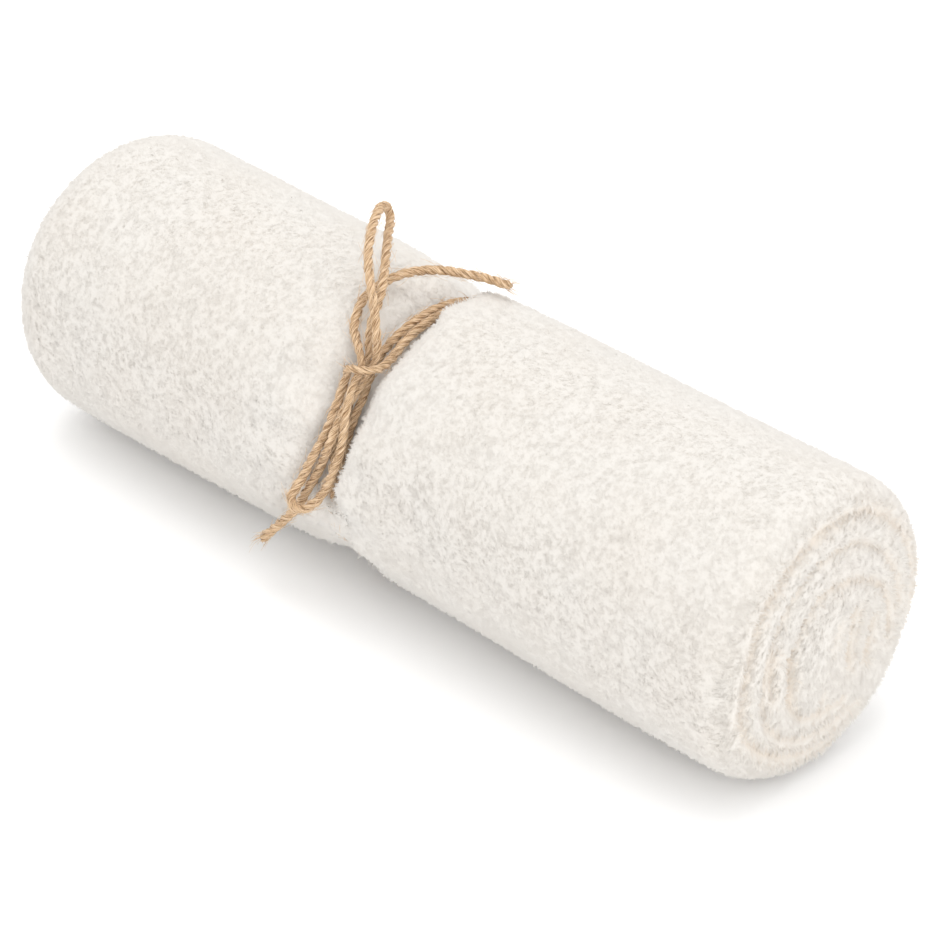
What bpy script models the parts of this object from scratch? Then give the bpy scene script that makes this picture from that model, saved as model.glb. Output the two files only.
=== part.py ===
"""A thick plush bath towel, folded in half lengthwise, rolled up and tied in its middle with jute twine.

Metres, +Z up. The roll lies along X with its spiral end at +X, on the plane Z = 0, its origin under its
middle. Angles go round the roll's axis from its front (-Y, 0 degrees) over its top (90) to its back (180) and
under it.
"""

import math

import bmesh
import bpy
from mathutils import Vector

MM = 0.001

# Driving dimensions of the roll
ROLL_LENGTH = 0.359
ROLL_RADIUS = 0.0565
FLAT_DEPTH = 0.002
TURN_THICKNESS = 0.0115
TURNS_SHOWN = 4
LAP_THICKNESS = 0.005
LAP_ANGLE = 218.0
LAP_RAMP = 75.0
LAP_ROUNDING = 0.0022
LAP_ROUNDING_FROM = 0.95
GROOVE_DEPTH = 0.0045
FRONT_RIM_RADIUS = 0.016
BACK_RIM_RADIUS = 0.023
RIM_POWER = 2.4
CORE_SHIFT_Y = 0.013
CORE_SHIFT_Z = -0.006
CORE_FLATTENING = 0.42
CORE_DEPTH = 0.006
CORE_HEART = 0.004
CORE_RISE = 0.3
EDGE_BULGE = 0.012
AROUND = 44
STATION_SPACING = 0.0115
# The insets of the rings that round a rim off, from the side to where the end's turns begin
RIM_INSETS = (0.0, 0.0003, 0.0012, 0.0032)
# Between two turns' grooves: the share of the way out, and how deep the cloth lies there as a share of the
# groove
TURN_PROFILE = (
    {"out": 0.22, "depth": 0.28},
    {"out": 0.50, "depth": 0.00},
    {"out": 0.78, "depth": 0.28},
)
# The slight lumps of a roll made by hand: their height, how many lie round the roll and how they shift along
# it
LUMPS = (
    {"height": 0.0006, "around": 2, "per_metre": 20.0, "start": 0.0},
    {"height": 0.0004, "around": 3, "per_metre": -27.0, "start": 1.0},
)

# The twine's pinch round the roll
PINCH_X = -0.0055
PINCH_DEPTH = 0.0105
GATHERS = 13
GATHER_HEIGHT = 0.0012
GATHER_SWAY = 1.5
# How much closer together the turns lie in the pinch
PINCH_SQUEEZE = 0.7

# Offset along the roll from the pinch, how deep the cloth is drawn in there as a share of PINCH_DEPTH, and
# how strongly it is gathered
PINCH_SHAPE = (
    {"offset": -62.0, "depth": 0.00, "gather": 0.0},
    {"offset": -45.0, "depth": 0.00, "gather": 0.2},
    {"offset": -32.0, "depth": 0.05, "gather": 0.5},
    {"offset": -23.0, "depth": 0.13, "gather": 0.9},
    {"offset": -17.0, "depth": 0.28, "gather": 1.0},
    {"offset": -12.0, "depth": 0.60, "gather": 0.8},
    {"offset": -8.0, "depth": 0.98, "gather": 0.1},
    {"offset": 0.0, "depth": 1.00, "gather": 0.0},
    {"offset": 5.5, "depth": 1.00, "gather": 0.0},
    {"offset": 6.6, "depth": 0.84, "gather": 0.1},
    {"offset": 7.6, "depth": 0.50, "gather": 0.3},
    {"offset": 8.9, "depth": 0.35, "gather": 0.6},
    {"offset": 11.4, "depth": 0.23, "gather": 1.0},
    {"offset": 15.0, "depth": 0.13, "gather": 1.0},
    {"offset": 21.0, "depth": 0.05, "gather": 0.6},
    {"offset": 32.0, "depth": 0.00, "gather": 0.2},
    {"offset": 52.0, "depth": 0.00, "gather": 0.0},
)

# The twine
TWINE_DIAMETER = 0.0035
TWINE_LAY = 0.0128
TWINE_PLIES = 3
GROOVE_SHARE = 0.70
RINGS_PER_LAY = 8
SAMPLES_PER_ROW = 40
PLAIN_STEP = 0.005
LANE_OFFSET = 1.95
RING_RADIUS = 48.25
RING_STEP = 20.0
RING_FROM = 84.0
RING_TO = 376.0
HIDDEN_FROM = 135.0
HIDDEN_TO = 320.0

# The bow's stretches from the first free end to the second: how far along the roll from the pinch, the angle
# round the roll, the distance from its axis and the twine's width, which is less where the knot squeezes it
FIRST_END_AND_LOWER_LOOP = (
    {"along": 15.0, "angle": 113.5, "radius": 60.7, "width": 1.0},
    {"along": 6.5, "angle": 111.5, "radius": 60.1, "width": 1.0},
    {"along": -2.0, "angle": 107.5, "radius": 59.3, "width": 1.0},
    {"along": -9.2, "angle": 103.0, "radius": 58.4, "width": 1.0},
    {"along": -13.2, "angle": 95.6, "radius": 58.4, "width": 1.0},
    {"along": -15.8, "angle": 88.4, "radius": 58.2, "width": 1.0},
    {"along": -17.3, "angle": 82.8, "radius": 57.7, "width": 1.0},
    {"along": -17.9, "angle": 77.4, "radius": 57.4, "width": 1.0},
    {"along": -17.1, "angle": 71.8, "radius": 57.0, "width": 1.0},
    {"along": -15.2, "angle": 66.3, "radius": 56.2, "width": 1.0},
    {"along": -12.4, "angle": 61.6, "radius": 55.4, "width": 1.0},
    {"along": -8.8, "angle": 58.4, "radius": 54.9, "width": 0.95},
    {"along": -4.8, "angle": 55.2, "radius": 55.0, "width": 0.85},
    {"along": -1.4, "angle": 51.4, "radius": 54.5, "width": 0.83},
    {"along": -0.1, "angle": 47.5, "radius": 54.6, "width": 0.83},
    {"along": 1.2, "angle": 41.0, "radius": 55.1, "width": 0.90},
    {"along": 2.7, "angle": 33.0, "radius": 54.5, "width": 0.95},
    {"along": 3.6, "angle": 26.0, "radius": 53.2, "width": 1.0},
    {"along": 3.8, "angle": 18.5, "radius": 52.4, "width": 1.0},
    {"along": 2.1, "angle": 8.8, "radius": 52.3, "width": 1.0},
    {"along": -1.6, "angle": -1.7, "radius": 53.0, "width": 1.0},
    {"along": -4.1, "angle": -6.6, "radius": 56.0, "width": 1.0},
    {"along": -6.8, "angle": -8.5, "radius": 59.2, "width": 1.0},
    {"along": -9.9, "angle": -8.0, "radius": 60.6, "width": 1.0},
    {"along": -12.0, "angle": -5.5, "radius": 59.2, "width": 1.0},
    {"along": -11.6, "angle": -2.2, "radius": 56.4, "width": 1.0},
    {"along": -10.7, "angle": 1.6, "radius": 54.2, "width": 1.0},
    {"along": -8.3, "angle": 9.1, "radius": 53.3, "width": 1.0},
    {"along": -5.3, "angle": 21.1, "radius": 51.7, "width": 1.0},
    {"along": -4.5, "angle": 32.1, "radius": 52.0, "width": 1.0},
    {"along": -5.0, "angle": 40.7, "radius": 52.2, "width": 0.95},
    {"along": -5.1, "angle": 45.3, "radius": 53.6, "width": 0.85},
)
WRAP = (
    {"along": -3.3, "angle": 47.6, "radius": 57.0, "width": 0.85},
    {"along": 1.2, "angle": 48.6, "radius": 58.3, "width": 0.85},
    {"along": 4.7, "angle": 50.4, "radius": 56.8, "width": 0.85},
    {"along": 5.7, "angle": 54.1, "radius": 53.4, "width": 0.90},
    {"along": 4.3, "angle": 60.2, "radius": 50.0, "width": 1.0},
    {"along": 2.6, "angle": 70.0, "radius": 48.5, "width": 1.0},
)
CROSSING = (
    {"along": 1.95, "angle": 30.0, "radius": 48.25, "width": 1.0},
    {"along": 1.8, "angle": 40.0, "radius": 48.1, "width": 0.9},
    {"along": 0.0, "angle": 50.0, "radius": 47.9, "width": 0.83},
    {"along": -1.8, "angle": 60.0, "radius": 48.1, "width": 0.9},
    {"along": -1.95, "angle": 70.0, "radius": 48.25, "width": 1.0},
)
UPPER_LOOP_AND_SECOND_END = (
    {"along": -1.95, "angle": 30.0, "radius": 48.25, "width": 1.0},
    {"along": -2.1, "angle": 37.0, "radius": 48.5, "width": 0.9},
    {"along": -2.1, "angle": 43.5, "radius": 49.9, "width": 0.83},
    {"along": -2.1, "angle": 50.0, "radius": 51.1, "width": 0.83},
    {"along": -3.0, "angle": 56.0, "radius": 51.7, "width": 0.85},
    {"along": -4.6, "angle": 60.5, "radius": 54.6, "width": 0.95},
    {"along": -6.0, "angle": 65.0, "radius": 57.8, "width": 1.0},
    {"along": -7.0, "angle": 70.0, "radius": 60.6, "width": 1.0},
    {"along": -9.2, "angle": 75.0, "radius": 62.6, "width": 1.0},
    {"along": -13.0, "angle": 80.4, "radius": 65.0, "width": 1.0},
    {"along": -17.8, "angle": 85.7, "radius": 67.2, "width": 1.0},
    {"along": -25.1, "angle": 92.9, "radius": 69.0, "width": 1.0},
    {"along": -30.8, "angle": 98.3, "radius": 70.8, "width": 1.0},
    {"along": -33.1, "angle": 98.8, "radius": 74.2, "width": 1.0},
    {"along": -30.3, "angle": 93.9, "radius": 77.6, "width": 1.0},
    {"along": -26.0, "angle": 89.0, "radius": 78.6, "width": 1.0},
    {"along": -21.0, "angle": 83.5, "radius": 78.0, "width": 1.0},
    {"along": -14.5, "angle": 76.8, "radius": 74.6, "width": 1.0},
    {"along": -8.4, "angle": 71.8, "radius": 70.4, "width": 1.0},
    {"along": -3.6, "angle": 67.8, "radius": 66.6, "width": 1.0},
    {"along": 0.2, "angle": 63.2, "radius": 62.6, "width": 1.0},
    {"along": 1.7, "angle": 59.6, "radius": 57.8, "width": 0.95},
    {"along": 1.4, "angle": 56.0, "radius": 53.2, "width": 0.85},
    {"along": 1.3, "angle": 51.0, "radius": 51.2, "width": 0.83},
    {"along": 1.2, "angle": 46.0, "radius": 51.3, "width": 0.83},
    {"along": 0.5, "angle": 40.5, "radius": 51.7, "width": 0.90},
    {"along": -0.4, "angle": 33.5, "radius": 52.0, "width": 0.95},
    {"along": -0.6, "angle": 26.3, "radius": 52.5, "width": 1.0},
    {"along": -1.8, "angle": 17.2, "radius": 52.6, "width": 1.0},
    {"along": -6.9, "angle": 4.0, "radius": 50.4, "width": 1.0},
    {"along": -10.6, "angle": -6.1, "radius": 53.2, "width": 1.0},
    {"along": -14.0, "angle": -13.1, "radius": 54.8, "width": 1.0},
    {"along": -16.8, "angle": -17.4, "radius": 57.0, "width": 1.0},
    {"along": -21.4, "angle": -22.7, "radius": 59.2, "width": 1.0},
    {"along": -26.0, "angle": -27.2, "radius": 61.6, "width": 1.0},
    {"along": -31.2, "angle": -31.9, "radius": 65.8, "width": 1.0},
)

CLOTH_COLOUR = (0.86, 0.82, 0.74)
TWINE_COLOUR = (0.45, 0.28, 0.13)

AXIS_HEIGHT = ROLL_RADIUS - FLAT_DEPTH


def clear_scene():
    """Remove what the file starts with."""
    for item in list(bpy.data.objects):
        bpy.data.objects.remove(item, do_unlink=True)


def new_collection(name):
    collection = bpy.data.collections.new(name)
    bpy.context.scene.collection.children.link(collection)
    return collection


def new_material(name, colour, roughness):
    material = bpy.data.materials.new(name)
    material.use_nodes = True
    shader = material.node_tree.nodes["Principled BSDF"]
    shader.inputs["Base Color"].default_value = (*colour, 1.0)
    shader.inputs["Roughness"].default_value = roughness
    shader.inputs["Metallic"].default_value = 0.0
    return material


def blend(value):
    """A smooth rise from 0 to 1."""
    share = min(max(value, 0.0), 1.0)
    return share * share * (3.0 - 2.0 * share)


def pinch_column(x, column):
    """One column of PINCH_SHAPE at this place along the roll."""
    offset = (x - PINCH_X) / MM
    if offset <= PINCH_SHAPE[0]["offset"] or offset >= PINCH_SHAPE[-1]["offset"]:
        return 0.0
    for low, high in zip(PINCH_SHAPE, PINCH_SHAPE[1:]):
        if offset <= high["offset"]:
            share = (offset - low["offset"]) / (high["offset"] - low["offset"])
            return low[column] + share * (high[column] - low[column])
    return 0.0


def cloth_inset(turn, share):
    """How far inside the roll's radius the cloth's outer side is, on this turn from the outside, at this
    share of a turn past the lap. The outermost turn keeps to the radius but for the lap's own step."""
    if turn == 0:
        rounding = LAP_ROUNDING * blend((share - LAP_ROUNDING_FROM) / (1.0 - LAP_ROUNDING_FROM))
        return LAP_THICKNESS * (1.0 - blend(share * 360.0 / LAP_RAMP)) + rounding
    return LAP_THICKNESS + TURN_THICKNESS * (turn - share)


def unevenness(x, angle):
    """How far the roll's lumps stand out here."""
    waves = [math.sin(lump["around"] * angle + lump["per_metre"] * x + lump["start"]) for lump in LUMPS]
    return sum(lump["height"] * wave for lump, wave in zip(LUMPS, waves))


def section_point(x, inset, share):
    """A point of the wound section, this far inside the roll's radius and at this share past the lap."""
    angle = math.radians(LAP_ANGLE + 360.0 * share)
    depth = pinch_column(x, "depth")
    gather = pinch_column(x, "gather") * GATHER_HEIGHT
    inward = inset / ROLL_RADIUS
    outward = 1.0 - inward
    radius = ROLL_RADIUS - PINCH_DEPTH * depth - inset * (1.0 - PINCH_SQUEEZE * depth)
    radius += outward * (1.0 - depth) * unevenness(x, angle)
    radius += gather * math.cos(GATHERS * angle + GATHER_SWAY * math.sin(2.0 * angle))
    flattening = 1.0 - CORE_FLATTENING * blend(inward)
    y = -radius * math.cos(angle) * flattening + CORE_SHIFT_Y * inward
    z = radius * math.sin(angle) + CORE_SHIFT_Z * inward
    return Vector((x, y, max(AXIS_HEIGHT + z, 0.0)))


def rim_drop(inset, rim_radius):
    """How far the rounded rim falls back from the end's plane at this inset."""
    along = max(1.0 - inset / rim_radius, 0.0)
    return rim_radius * (1.0 - (1.0 - along**RIM_POWER) ** (1.0 / RIM_POWER))


def body_stations():
    """Places along the roll between its rims, closest together in the pinch."""
    first = -ROLL_LENGTH / 2 + BACK_RIM_RADIUS
    last = ROLL_LENGTH / 2 - FRONT_RIM_RADIUS
    pinch = [PINCH_X + row["offset"] * MM for row in PINCH_SHAPE]
    stations = list(pinch)
    for start, stop in ((first, pinch[0]), (pinch[-1], last)):
        steps = round((stop - start) / STATION_SPACING)
        stations += [start + (stop - start) * step / steps for step in range(steps + 1)]
    return sorted(set(round(station, 6) for station in stations))[1:-1]


def lap_edge_point(x, rim_inset, row):
    """A point of the cloth's rounded free edge, which runs along the roll over the turn below."""
    inner = cloth_inset(0, 0.0)
    outward = TURN_PROFILE[row]["out"]
    bulge = EDGE_BULGE * outward * (1.0 - outward)
    return section_point(x, rim_inset + inner * (1.0 - outward), bulge)


def outline(bm, x, rim_inset):
    """One closed ring round the roll: the outer turn, from the lap round to it, then the cloth's edge."""
    ring = []
    for step in range(AROUND + 1):
        share = step / AROUND
        ring.append(bm.verts.new(section_point(x, rim_inset + cloth_inset(0, share), share)))
    for row in (2, 1, 0):
        ring.append(bm.verts.new(lap_edge_point(x, rim_inset, row)))
    return ring


def bridge(bm, first, second):
    """Quads between two closed rings of as many points."""
    count = len(first)
    for index in range(count):
        after = (index + 1) % count
        bm.faces.new((first[index], first[after], second[after], second[index]))


def end_point(side, inset, share, rim_radius, groove):
    """A point of an end of the roll, where the turns show."""
    drop = rim_drop(inset, rim_radius) + GROOVE_DEPTH * groove
    return section_point(side * (ROLL_LENGTH / 2 - drop), inset, share)


def spiral_end(bm, rim, side, rim_radius):
    """The turns on one end: a groove that winds in from the lap, with the rounded folds of the cloth beside
    it, which rise out of the sunken core over the first part of their innermost turn."""
    last = TURNS_SHOWN * AROUND
    groove = []
    for step in range(last):
        turn = TURNS_SHOWN - step // AROUND
        share = step % AROUND / AROUND
        groove.append(bm.verts.new(end_point(side, cloth_inset(turn, share), share, rim_radius, 1.0)))
    groove += rim[: AROUND + 1]
    folds = []
    for step in range(last):
        turn = TURNS_SHOWN - step // AROUND
        share = step % AROUND / AROUND
        inner = cloth_inset(turn, share)
        outer = cloth_inset(turn - 1, share) + (RIM_INSETS[-1] if turn == 1 else 0.0)
        sunk = 1.0 - blend(step / (CORE_RISE * AROUND))
        fold = []
        for row in TURN_PROFILE:
            inset = inner + (outer - inner) * row["out"]
            depth = row["depth"] + (1.0 - row["depth"]) * sunk
            fold.append(bm.verts.new(end_point(side, inset, share, rim_radius, depth)))
        folds.append(fold)
    folds.append([rim[-1], rim[-2], rim[-3]])
    for step in range(last):
        here = [groove[step], *folds[step], groove[step + AROUND]]
        beyond = [groove[step + 1], *folds[step + 1], groove[step + 1 + AROUND]]
        for index in range(len(here) - 1):
            bm.faces.new((here[index], here[index + 1], beyond[index + 1], beyond[index]))
    core_ring = groove[: AROUND + 1] + list(reversed(folds[0]))
    middle = section_point(side * (ROLL_LENGTH / 2 - CORE_DEPTH), ROLL_RADIUS - CORE_HEART, 0.5)
    centre = bm.verts.new(middle)
    for index, vert in enumerate(core_ring):
        bm.faces.new((vert, core_ring[(index + 1) % len(core_ring)], centre))


def towel_mesh():
    """The roll, lofted along its length from one spiral end to the other."""
    bm = bmesh.new()
    rings = []
    for inset in reversed(RIM_INSETS):
        rings.append(outline(bm, -ROLL_LENGTH / 2 + rim_drop(inset, BACK_RIM_RADIUS), inset))
    for x in body_stations():
        rings.append(outline(bm, x, 0.0))
    for inset in RIM_INSETS:
        rings.append(outline(bm, ROLL_LENGTH / 2 - rim_drop(inset, FRONT_RIM_RADIUS), inset))
    for first, second in zip(rings, rings[1:]):
        bridge(bm, first, second)
    spiral_end(bm, rings[0], -1, BACK_RIM_RADIUS)
    spiral_end(bm, rings[-1], 1, FRONT_RIM_RADIUS)
    bmesh.ops.recalc_face_normals(bm, faces=bm.faces)
    bmesh.ops.triangulate(bm, faces=bm.faces)
    mesh = bpy.data.meshes.new("rolled_towel")
    bm.to_mesh(mesh)
    bm.free()
    mesh.shade_smooth()
    return mesh


def add_towel(collection):
    towel = bpy.data.objects.new("rolled_towel", towel_mesh())
    towel.data.materials.append(new_material("ivory plush", CLOTH_COLOUR, 1.0))
    collection.objects.link(towel)


def route_rows():
    """The twine's whole route: the first free end, the lower loop, the wrap over the knot, two turns round
    the roll, the upper loop and the second free end."""
    rows = [*FIRST_END_AND_LOWER_LOOP, *WRAP]
    rows += ring_turn(LANE_OFFSET)
    rows += CROSSING
    rows += ring_turn(-LANE_OFFSET)
    rows += UPPER_LOOP_AND_SECOND_END
    return rows


def ring_turn(along):
    """The part of a turn round the roll that lies in the pinch, away from the knot."""
    steps = round((RING_TO - RING_FROM) / RING_STEP)
    spacing = (RING_TO - RING_FROM) / steps
    return [
        {"along": along, "angle": RING_FROM + step * spacing, "radius": RING_RADIUS, "width": 1.0}
        for step in range(steps + 1)
    ]


def route_point(row):
    angle = math.radians(row["angle"])
    radius = row["radius"] * MM
    x = PINCH_X + row["along"] * MM
    return Vector((x, -radius * math.cos(angle), AXIS_HEIGHT + radius * math.sin(angle)))


def smooth_route(rows):
    """Close-set samples of a smooth curve through the route's points, each with its place and the twine's
    width. Knots are spaced by the square root of the distance, so the curve makes no loops of its own."""
    points = [route_point(row) for row in rows]
    widths = [row["width"] for row in rows]
    points = [points[0] * 2 - points[1], *points, points[-1] * 2 - points[-2]]
    samples = []
    for index in range(len(rows) - 1):
        a, b, c, d = points[index : index + 4]
        t1 = math.sqrt((b - a).length)
        t2 = t1 + math.sqrt((c - b).length)
        t3 = t2 + math.sqrt((d - c).length)
        for step in range(SAMPLES_PER_ROW):
            share = step / SAMPLES_PER_ROW
            t = t1 + share * (t2 - t1)
            ab = a * ((t1 - t) / t1) + b * (t / t1)
            bc = b * ((t2 - t) / (t2 - t1)) + c * ((t - t1) / (t2 - t1))
            cd = c * ((t3 - t) / (t3 - t2)) + d * ((t - t2) / (t3 - t2))
            abc = ab * ((t2 - t) / t2) + bc * (t / t2)
            bcd = bc * ((t3 - t) / (t3 - t1)) + cd * ((t - t1) / (t3 - t1))
            place = abc * ((t2 - t) / (t2 - t1)) + bcd * ((t - t1) / (t2 - t1))
            samples.append((place, widths[index] + share * (widths[index + 1] - widths[index])))
    samples.append((points[-2], widths[-1]))
    return samples


def is_hidden(place):
    """Whether this point is behind or under the roll, where the twist isn't raised."""
    angle = math.degrees(math.atan2(place.z - AXIS_HEIGHT, -place.y)) % 360.0
    return HIDDEN_FROM < angle < HIDDEN_TO


def twine_stations(samples):
    """Points along the twine, closely spaced and turned where its twist shows: place, width and turn."""
    stations = [(*samples[0], 0.0)]
    turn = 0.0
    walked = 0.0
    for (before, _), (place, width) in zip(samples, samples[1:]):
        walked += (place - before).length
        hidden = is_hidden(place)
        step = PLAIN_STEP if hidden else TWINE_LAY / RINGS_PER_LAY
        if walked >= step:
            if not hidden:
                turn += math.tau * walked / TWINE_LAY
            stations.append((place, width, turn))
            walked = 0.0
    return stations


def add_plied_section(collection):
    """The twine's section: three plies, with a groove between each two."""
    count = 2 * TWINE_PLIES
    curve = bpy.data.curves.new("twine_section", "CURVE")
    curve.dimensions = "3D"
    spline = curve.splines.new("POLY")
    spline.points.add(count - 1)
    for index, point in enumerate(spline.points):
        radius = TWINE_DIAMETER / 2 * (1.0 if index % 2 == 0 else GROOVE_SHARE)
        angle = -math.tau * index / count
        point.co = (radius * math.cos(angle), radius * math.sin(angle), 0.0, 1.0)
    spline.use_cyclic_u = True
    section = bpy.data.objects.new("twine_section", curve)
    section.hide_render = True
    section.display_type = "WIRE"
    collection.objects.link(section)
    return section


def add_twine(collection, section):
    curve = bpy.data.curves.new("jute_twine", "CURVE")
    curve.dimensions = "3D"
    curve.twist_mode = "MINIMUM"
    curve.bevel_mode = "OBJECT"
    curve.bevel_object = section
    curve.use_fill_caps = True
    stations = twine_stations(smooth_route(route_rows()))
    spline = curve.splines.new("POLY")
    spline.points.add(len(stations) - 1)
    for point, (place, width, turn) in zip(spline.points, stations):
        point.co = (*place, 1.0)
        point.radius = width
        point.tilt = turn
    spline.use_smooth = True
    twine = bpy.data.objects.new("jute_twine", curve)
    twine.data.materials.append(new_material("jute", TWINE_COLOUR, 0.9))
    collection.objects.link(twine)


def main():
    clear_scene()
    parts = new_collection("rolled_bath_towel")
    helpers = new_collection("helpers")
    add_towel(parts)
    add_twine(parts, add_plied_section(helpers))


main()
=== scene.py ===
"""The looks of a plush bath towel, rolled up and tied with jute twine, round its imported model.

Metres, +Z up. The roll lies along X with its spiral end at +X, on the plane Z = 0, its origin under its
middle. Angles go round the roll's axis from its front (-Y, 0 degrees) over its top (90) to its back (180) and
under it.
"""

import math

import bmesh
import bpy
import numpy as np
from mathutils import Matrix, Vector


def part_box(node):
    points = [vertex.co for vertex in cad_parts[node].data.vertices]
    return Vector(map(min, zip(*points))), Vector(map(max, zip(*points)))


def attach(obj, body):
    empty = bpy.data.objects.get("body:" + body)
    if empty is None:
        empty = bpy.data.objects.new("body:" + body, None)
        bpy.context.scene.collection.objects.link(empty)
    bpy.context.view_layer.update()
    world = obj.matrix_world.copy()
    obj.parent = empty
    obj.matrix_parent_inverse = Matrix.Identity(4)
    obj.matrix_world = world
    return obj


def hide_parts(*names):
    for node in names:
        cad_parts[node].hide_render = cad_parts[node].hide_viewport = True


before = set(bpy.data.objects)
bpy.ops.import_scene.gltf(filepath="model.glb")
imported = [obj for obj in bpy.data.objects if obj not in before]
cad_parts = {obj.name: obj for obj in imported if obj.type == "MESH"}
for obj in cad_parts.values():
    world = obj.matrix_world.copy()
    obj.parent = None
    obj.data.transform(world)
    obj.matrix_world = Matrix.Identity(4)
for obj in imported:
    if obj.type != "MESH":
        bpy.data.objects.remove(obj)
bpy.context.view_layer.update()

MM = 0.001

# The roll's sizes, as its solid has them
ROLL_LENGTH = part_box("rolled_towel")[1].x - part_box("rolled_towel")[0].x
ROLL_RADIUS = 0.0565
FLAT_DEPTH = 0.002
AXIS_HEIGHT = ROLL_RADIUS - FLAT_DEPTH
LAP_THICKNESS = 0.005
LAP_ANGLE = 218.0
LAP_RAMP = 75.0
FRONT_RIM_RADIUS = 0.016
BACK_RIM_RADIUS = 0.023
RIM_POWER = 2.4
LUMPS = (
    {"height": 0.0006, "around": 2, "per_metre": 20.0, "start": 0.0},
    {"height": 0.0004, "around": 3, "per_metre": -27.0, "start": 1.0},
)

# The twine's pinch round the roll: how deep the cloth is drawn in, how strongly it is gathered beside it, and
# how finely the rows below are cut and rounded
PINCH_X = -0.0055
PINCH_DEPTH = 0.0105
GATHERS = 13
GATHER_HEIGHT = 0.0012
GATHER_SWAY = 1.5
PINCH_SQUEEZE = 0.7
PINCH_STEPS = 4
PINCH_ROUNDING = 3
# Millimetres along the roll from the pinch, the shares of its depth and of the gathers' height, and how far
# along and how deep the cloth lies instead where it bulges over the twine
PINCH_SHAPE = (
    (-62.0, 0.00, 0.0, -62.0, 0.00),
    (-45.0, 0.00, 0.2, -45.0, 0.00),
    (-32.0, 0.05, 0.5, -31.0, 0.06),
    (-23.0, 0.13, 0.9, -21.0, 0.16),
    (-17.0, 0.28, 1.0, -14.0, 0.34),
    (-12.0, 0.60, 0.8, -10.0, 0.45),
    (-10.5, 0.74, 0.5, -5.0, 0.38),
    (-9.6, 0.83, 0.4, 0.5, 0.31),
    (-9.0, 0.89, 0.3, 8.2, 0.31),
    (-8.6, 0.92, 0.2, 6.0, 0.385),
    (-8.3, 0.95, 0.1, -2.4, 0.375),
    (-8.0, 0.98, 0.1, -6.2, 0.62),
    (0.0, 1.00, 0.0, 0.0, 1.00),
    (5.5, 1.00, 0.0, 5.0, 1.00),
    (6.6, 0.84, 0.1, 5.4, 0.80),
    (7.6, 0.50, 0.3, 5.5, 0.50),
    (8.9, 0.35, 0.6, 4.6, 0.30),
    (11.4, 0.23, 1.0, 4.8, 0.16),
    (15.0, 0.13, 1.0, 8.0, 0.07),
    (21.0, 0.05, 0.6, 16.0, 0.02),
    (32.0, 0.00, 0.2, 30.0, 0.00),
    (52.0, 0.00, 0.0, 52.0, 0.00),
)
# The angle round the roll, and how far the cloth bulges over the twine from its left and from its right
BULGES = (
    (-90.0, 0.0, 0.0),
    (-64.0, 0.0, 0.4),
    (-62.0, 1.0, 0.4),
    (-8.0, 1.0, 0.5),
    (-6.5, 0.0, 0.6),
    (4.0, 0.0, 0.8),
    (10.0, 0.0, 0.7),
    (20.0, 0.0, 0.3),
    (30.0, 0.0, 0.0),
    (80.0, 0.0, 0.0),
    (92.0, 0.0, 0.9),
    (102.0, 0.0, 1.0),
    (160.0, 0.0, 1.0),
    (200.0, 0.3, 0.4),
    (270.0, 0.0, 0.0),
)

# The cloth under its pile: how far it lies inside the solid and above the floor, how finely it is cut, and
# how the free edge of its lap is rounded
PILE_HEIGHT = 0.0016
REST_HEIGHT = 0.0012
AROUND = 180
STATION_SPACING = 0.0030
LAP_ROWS = 5
LAP_ROUNDING = 0.0022
LAP_ROUNDING_FROM = 0.95
EDGE_BULGE = 0.012

# The rings that close its ends: their insets on the rim, their number inside it, and where the lap fades
RIM_STEPS = (0.0, 0.0002, 0.0006, 0.0012, 0.0020, 0.0030)
END_RINGS = 40
LAP_FADE = 0.010

# The creases between the turns on the front end, in millimetres: depth, width and the points across (Y) and
# up (Z) that each runs through
FRONT_CREASES = (
    {
        "depth": 2.8,
        "width": 2.2,
        "points": (
            (33, 14), (41, 28), (45, 44), (44.5, 60), (41.4, 72), (36.8, 79.8), (28.2, 89.9), (18.9, 96.5),
            (7.4, 99.8), (-4.9, 99.7), (-14, 96.8), (-21.6, 92.7), (-29.6, 86.3), (-35.5, 78), (-38.5, 70),
            (-41.5, 58.2), (-42.8, 45.8), (-39.1, 34.2), (-30.6, 24.4), (-21.4, 17.6), (-8.4, 12.5),
            (6, 10.5),
        ),
    },
    {
        "depth": 2.4,
        "width": 1.8,
        "points": (
            (38, 50), (34.3, 65.2), (26.9, 76.9), (17.2, 85.0), (9.4, 88.6), (1.9, 89.5), (-9.1, 88.3),
            (-20, 81), (-27.5, 71.5), (-31, 60), (-33, 46), (-30, 35), (-22, 26), (-10, 19), (4, 17.5),
            (18, 20),
        ),
    },
    {
        "depth": 2.8,
        "width": 1.9,
        "points": (
            (33, 40), (32.2, 52.2), (28.1, 62.3), (19.9, 69.1), (10.8, 73.3), (0.6, 75.6), (-6.8, 74.0),
            (-12.5, 68.0), (-17, 60), (-19, 52), (-18.5, 44), (-17.5, 36.5), (-11, 28), (-1, 24.5), (10, 25),
        ),
    },
    {"depth": 3.7, "width": 1.8, "points": ((14.5, 60), (13.2, 55), (12.3, 49), (11.9, 43), (12.5, 38))},
    {"depth": 4.1, "width": 1.5, "points": ((24.0, 52), (23.2, 46), (21.9, 40), (20.2, 36))},
    {"depth": 2.9, "width": 2.4, "points": ((-26.9, 63.4), (-28.1, 54.2), (-26.9, 44.5))},
    {"depth": 3.7, "width": 2.6, "points": ((-18.5, 56.5), (-17.1, 47.3), (-18.4, 40.2))},
    {"depth": 2.2, "width": 1.6, "points": ((-37.0, 30.8), (-30.6, 24.6), (-21.5, 17.4))},
    {"depth": 1.8, "width": 1.6, "points": ((-0.5, 33.2), (-2.0, 26.8))},
    {"depth": 1.3, "width": 2.2, "points": ((6.5, 57), (3.0, 50))},
)

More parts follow.
